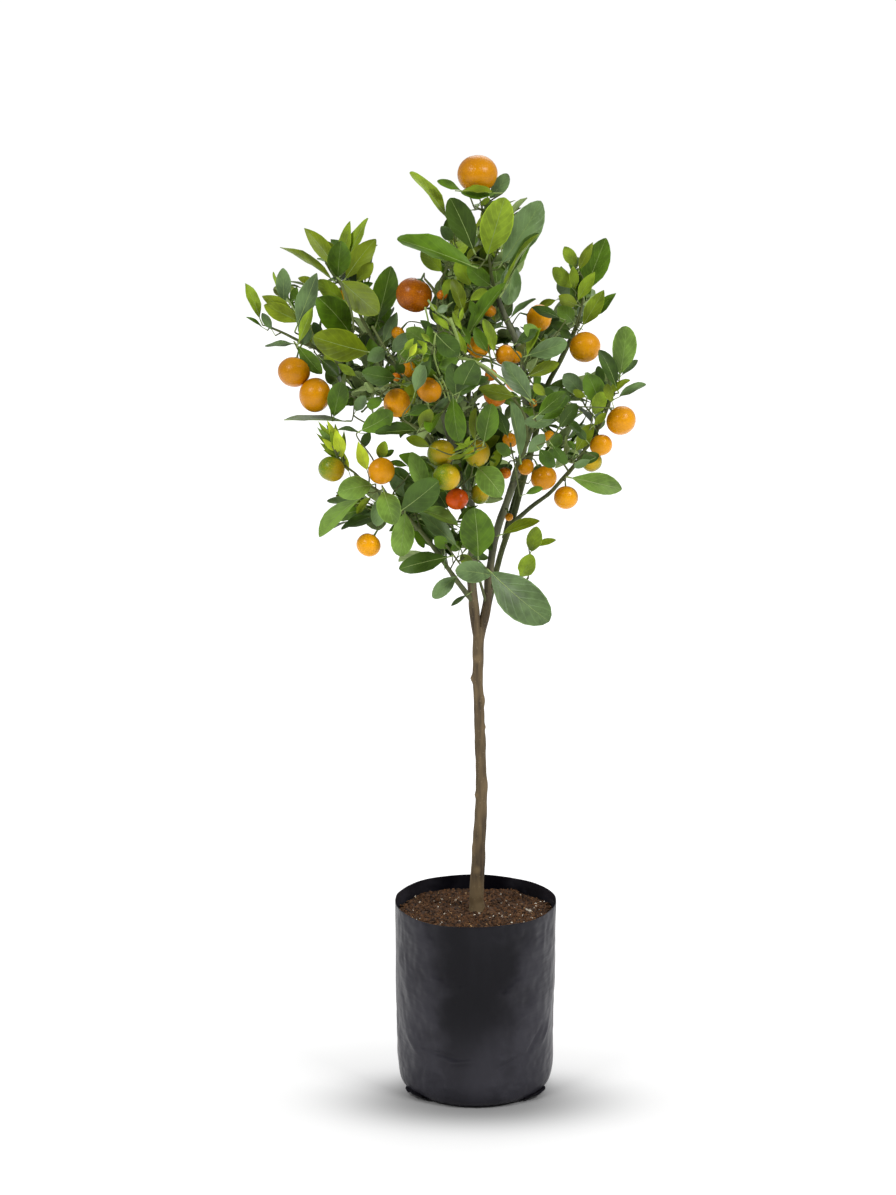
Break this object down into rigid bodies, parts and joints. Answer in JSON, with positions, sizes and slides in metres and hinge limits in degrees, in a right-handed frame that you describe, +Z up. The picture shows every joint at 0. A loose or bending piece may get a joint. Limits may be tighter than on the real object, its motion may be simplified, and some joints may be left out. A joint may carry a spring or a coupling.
{
  "type": "calamondin orange tree in a grow bag",
  "caption": "Young standard citrus tree with a slim forked trunk, an open leafy crown and small orange fruit, standing in a round black film grow bag.",
  "frame": {"origin": "centre of the bag's flat underside, at the level of the floor", "axes": "+Z up along the trunk; -Y is the front, from which the fork's two stems stand left and right; +X is to the right seen from the front"},
  "size_m": [0.4064, 0.3417, 0.969],
  "materials": {
    "bag_film": "soft black film with a dull sheen and fine creases",
    "soil": "crumbly brown compost with white grains",
    "bark": "grey-brown bark, finely fissured",
    "green_bark": "smooth olive-green young bark",
    "leaf_dark": "leathery dark green leaf with a waxy sheen",
    "leaf_fresh": "fresh yellow-green leaf with a waxy sheen",
    "leaf_under": "matte pale underside of the leaf",
    "fruit": "orange rind with fine oil pits and a soft gloss",
    "fruit_turning": "rind turning from green to orange",
    "grit": "white expanded mineral grains"
  },
  "bodies": {
    "root": {"grow_bag": "bag_film", "soil": "soil", "trunk": "bark", "stem_left": "bark", "stem_right": "bark", "stem_back": "bark", "bough_right": "green_bark", "bough_low_left": "green_bark", "bough_left": "green_bark", "bough_upper_left": "green_bark", "bough_middle": "green_bark", "bough_back_left": "green_bark", "bough_back_right": "green_bark", "bough_back": "green_bark", "bough_front_left": "green_bark", "bough_front_right": "green_bark", "foliage_top": "leaf_dark", "foliage_upper_left": "leaf_dark", "foliage_left_tip": "leaf_dark", "foliage_upper_right": "leaf_dark", "foliage_right": "leaf_dark", "foliage_right_low": "leaf_dark", "foliage_right_middle": "leaf_dark", "foliage_left_middle": "leaf_dark", "foliage_low_left": "leaf_dark", "foliage_low_middle": "leaf_dark", "foliage_skirt_left": "leaf_dark", "foliage_skirt_right": "leaf_dark", "foliage_centre_low": "leaf_dark", "foliage_centre": "leaf_dark", "foliage_centre_top": "leaf_dark", "foliage_front_left": "leaf_dark", "foliage_front_right": "leaf_dark", "foliage_back_low": "leaf_dark", "foliage_back_left": "leaf_dark", "foliage_back_right": "leaf_dark", "foliage_back_top": "leaf_dark"}
  },
  "joints": []
}
